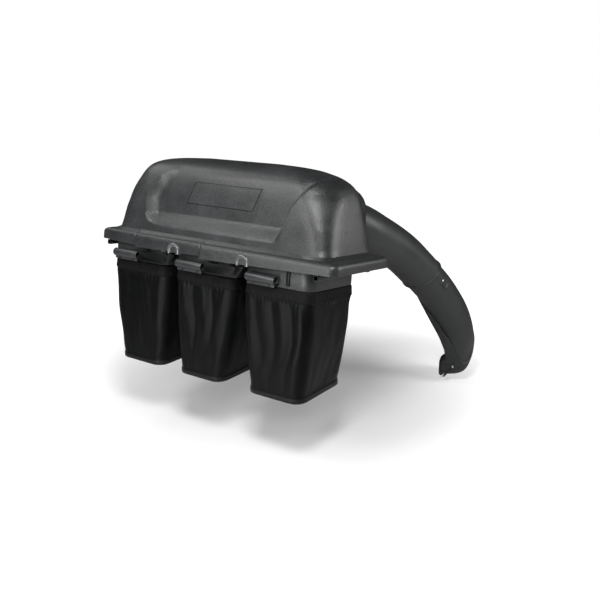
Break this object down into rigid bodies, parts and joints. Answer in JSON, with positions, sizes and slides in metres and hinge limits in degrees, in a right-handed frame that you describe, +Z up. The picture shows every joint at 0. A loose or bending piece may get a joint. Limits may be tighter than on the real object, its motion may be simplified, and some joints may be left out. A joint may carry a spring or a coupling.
{
  "type": "triple grass bagger",
  "caption": "Moulded hood over soft grass bags in collars on a steel frame, with a curved two-part chute that runs down to an adapter for a mower deck.",
  "frame": {"origin": "middle of the front face of the mounting plate, between its bolt holes", "axes": "+X to the tractor's right, +Y forward out of the mounting plate, +Z up"},
  "size_m": [1.4044, 1.5223, 1.2494],
  "materials": {
    "hood_plastic": "fine grained, dark grey",
    "grip_plastic": "satin, grey",
    "chute_plastic": "satin, dark grey",
    "boot_plastic": "satin, near black",
    "bag_cloth": "coarse woven, black",
    "tray_plastic": "satin, black",
    "black_plastic": "satin, black",
    "lever_plastic": "satin, grey",
    "rubber": "matt, black",
    "black_painted_steel": "semi-gloss, black",
    "zinc_plated_steel": "dull, silver",
    "bright_steel": "bright, silver"
  },
  "bodies": {
    "frame": {"adapter_bolt": "bright_steel", "adapter_strap": "rubber", "arm_inner_left": "black_painted_steel", "arm_inner_right": "black_painted_steel", "arm_outer_left": "black_painted_steel", "arm_outer_right": "black_painted_steel", "bag_clip_left": "black_plastic", "bag_clip_middle": "black_plastic", "bag_clip_right": "black_plastic", "bag_cloth_left": "bag_cloth", "bag_cloth_middle": "bag_cloth", "bag_cloth_right": "bag_cloth", "bag_collar_left": "hood_plastic", "bag_collar_middle": "hood_plastic", "bag_collar_right": "hood_plastic", "bag_grip_left": "grip_plastic", "bag_grip_middle": "grip_plastic", "bag_grip_right": "grip_plastic", "bag_tray_left": "tray_plastic", "bag_tray_middle": "tray_plastic", "bag_tray_right": "tray_plastic", "chute_lower": "chute_plastic", "chute_upper": "chute_plastic", "cross_tube": "black_painted_steel", "deck_adapter": "boot_plastic", "front_rail": "black_painted_steel", "grip_screw_left_1": "bright_steel", "grip_screw_left_2": "bright_steel", "grip_screw_middle_1": "bright_steel", "grip_screw_middle_2": "bright_steel", "grip_screw_right_1": "bright_steel", "grip_screw_right_2": "bright_steel", "hinge_bracket_left": "zinc_plated_steel", "hinge_bracket_right": "zinc_plated_steel", "hinge_pin_left": "bright_steel", "hinge_pin_right": "bright_steel", "latch_bracket_left": "black_plastic", "latch_bracket_right": "black_plastic", "latch_pin_left": "bright_steel", "latch_pin_right": "bright_steel", "mount_plate": "black_painted_steel", "post_left": "black_painted_steel", "post_right": "black_painted_steel"},
    "hood": {"hood_hinge_leaf_left": "zinc_plated_steel", "hood_hinge_leaf_right": "zinc_plated_steel", "hood_inlet_seal": "rubber", "hood_shell": "hood_plastic"},
    "latch_left": {"latch_lever_left": "lever_plastic", "latch_handle_left": "black_plastic"},
    "latch_right": {"latch_lever_right": "lever_plastic", "latch_handle_right": "black_plastic"}
  },
  "joints": [
    {"name": "hood_hinge", "type": "hinge", "parent": "frame", "child": "hood", "pos_m": [0, -0.03683, 0.45134], "axis": [-1, 0, 0], "range_deg": [0, 45]},
    {"name": "latch_left_hinge", "type": "hinge", "parent": "frame", "child": "latch_left", "pos_m": [-0.233, -0.49832, 0.45272], "axis": [1, 0, 0], "range_deg": [0, 60]},
    {"name": "latch_right_hinge", "type": "hinge", "parent": "frame", "child": "latch_right", "pos_m": [0.1755, -0.49832, 0.45272], "axis": [1, 0, 0], "range_deg": [0, 60]}
  ]
}
